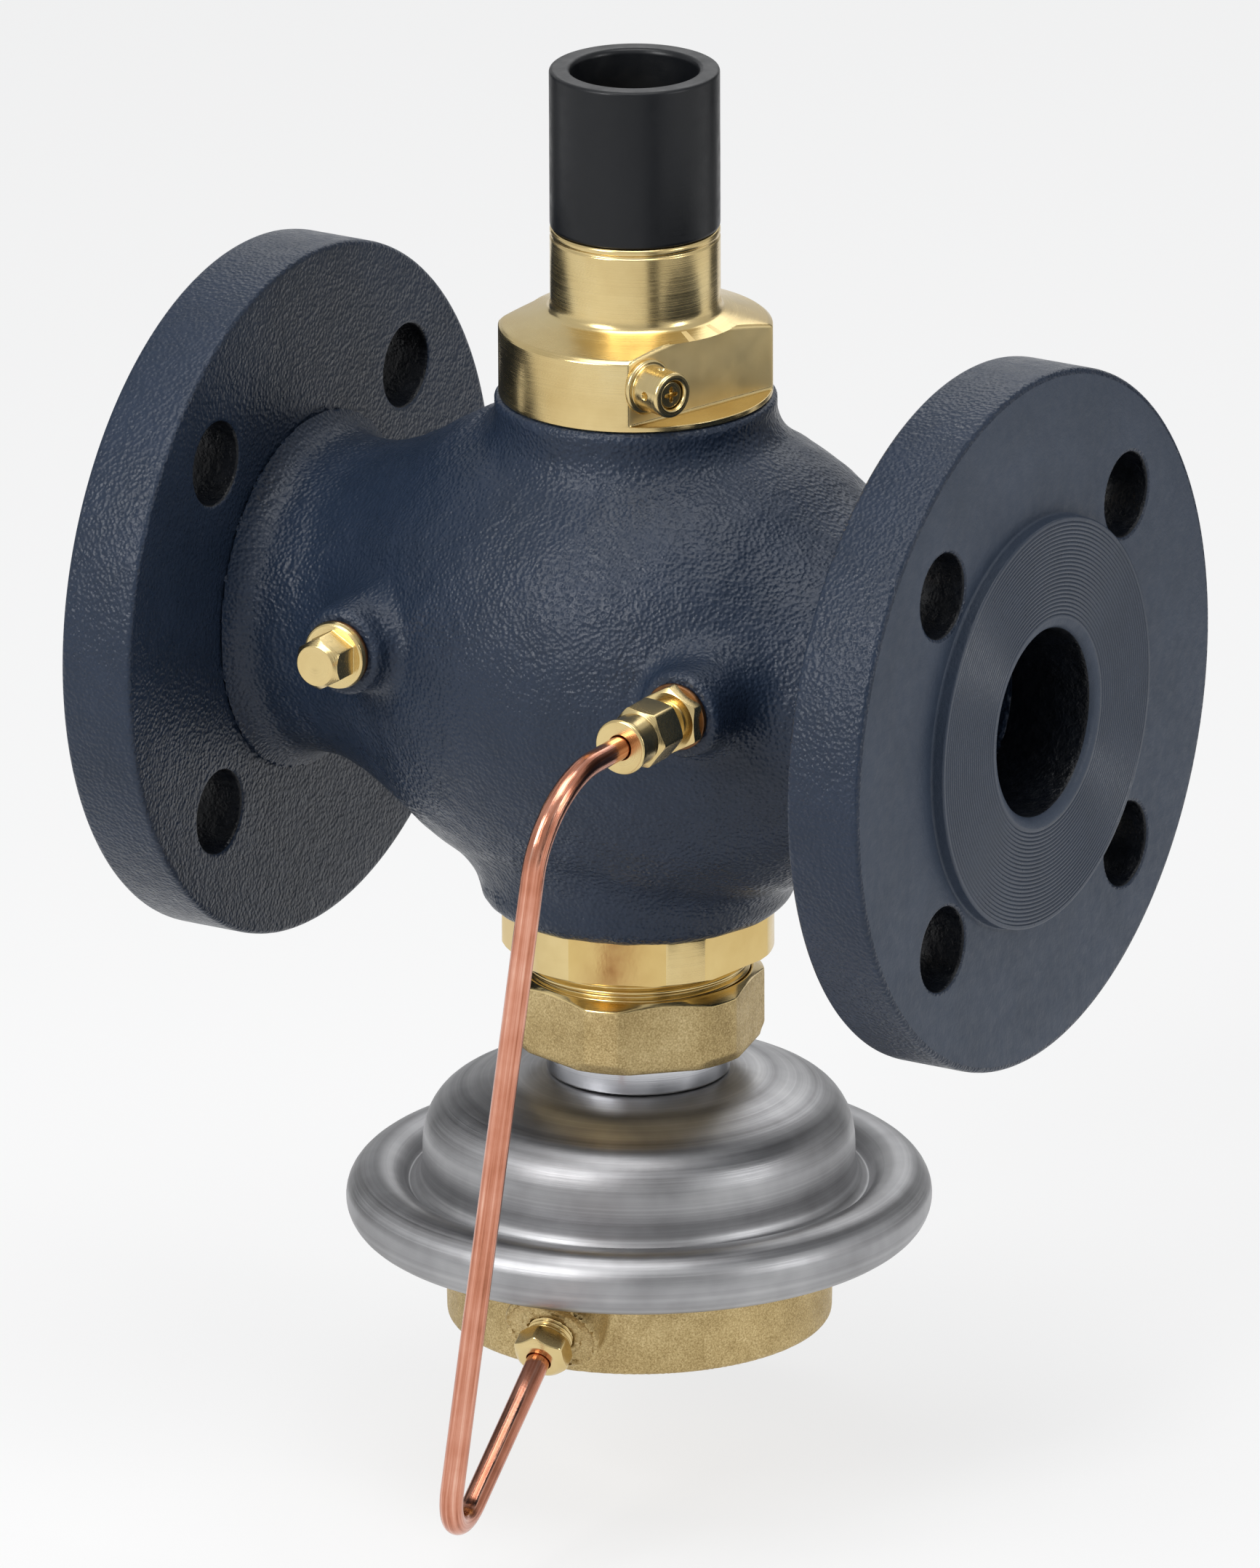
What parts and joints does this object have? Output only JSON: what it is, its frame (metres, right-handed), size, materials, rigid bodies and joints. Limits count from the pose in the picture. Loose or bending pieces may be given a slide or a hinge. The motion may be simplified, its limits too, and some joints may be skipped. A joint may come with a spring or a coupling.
{
  "type": "pressure independent control valve",
  "caption": "Flanged control valve with a diaphragm pressure regulator below, a copper impulse pipe and an actuator neck on top.",
  "frame": {"origin": "centre of the inlet flange's raised face, on the pipe axis", "axes": "+X along the pipe axis in the direction of flow, +Z along the stem towards the actuator neck"},
  "size_m": [0.2, 0.1839, 0.2948],
  "materials": {
    "body_paint": "semi-gloss slate grey paint on a sand casting",
    "machined_brass": "machined and lightly polished brass",
    "cast_brass": "blasted cast brass with a fine grain",
    "black_plastic": "satin black moulded plastic",
    "grey_plastic": "light grey moulded plastic",
    "spun_steel": "spun and satin finished stainless sheet",
    "bright_steel": "turned stainless steel",
    "spring_steel": "drawn spring wire",
    "aluminium": "turned aluminium",
    "copper": "drawn copper, slightly dulled",
    "rubber": "black rubber"
  },
  "bodies": {
    "valve": {"valve_body": "body_paint", "control_seat": "bright_steel", "regulator_seat": "bright_steel", "bonnet": "machined_brass", "bonnet_seal": "rubber", "gland_nut": "machined_brass", "stem_seal": "rubber", "stem_spring": "spring_steel", "stem_guide": "machined_brass", "vent_body": "machined_brass", "plug_screw": "machined_brass", "plug_washer": "copper", "upper_washer": "copper", "upper_nipple": "machined_brass", "upper_nut": "machined_brass", "upper_ferrule": "machined_brass", "impulse_pipe": "copper", "lower_nipple": "machined_brass", "lower_nut": "machined_brass", "lower_ferrule": "machined_brass", "lower_insert": "machined_brass", "insert_seal": "rubber", "union_nut": "cast_brass", "neck_tube": "aluminium", "neck_seal": "rubber", "casing_nut": "bright_steel", "upper_casing": "spun_steel", "base_casing": "cast_brass", "diaphragm": "rubber", "regulator_spring": "spring_steel"},
    "control_spindle": {"control_stem": "bright_steel", "stem_clip": "bright_steel", "spring_cup": "bright_steel", "control_cone": "machined_brass", "cone_seal": "rubber"},
    "regulator_spindle": {"regulator_stem": "bright_steel", "regulator_cone": "machined_brass", "upper_plate": "bright_steel", "lower_plate": "bright_steel", "plate_nut": "bright_steel"},
    "vent_needle": {"vent_screw": "machined_brass"},
    "sleeve": {"guard_sleeve": "black_plastic"},
    "setting": {"setting_ring": "grey_plastic"}
  },
  "joints": [
    {"name": "control_stroke", "type": "slide", "parent": "valve", "child": "control_spindle", "axis": [0, 0, 1], "range_m": [-0.01, 0], "stiffness_N_per_m": 1500, "springref_m": 0.006, "deforming": ["stem_spring"]},
    {"name": "regulator_stroke", "type": "slide", "parent": "valve", "child": "regulator_spindle", "axis": [0, 0, 1], "range_m": [-0.008, 0], "stiffness_N_per_m": 3000, "springref_m": 0.006, "deforming": ["regulator_spring", "diaphragm"]},
    {"name": "vent_turn", "type": "hinge", "parent": "valve", "child": "vent_needle", "pos_m": [0.11497, -0.02121, 0.0666], "axis": [0.9489, -0.3156, 0], "range_deg": [0, 360]},
    {"name": "sleeve_lift", "type": "slide", "parent": "valve", "child": "sleeve", "axis": [0, 0, 1], "range_m": [0, 0.04]},
    {"name": "setting_turn", "type": "hinge", "parent": "valve", "child": "setting", "pos_m": [0.1, 0, 0.098], "axis": [0, 0, 1], "range_deg": [0, 300]}
  ]
}
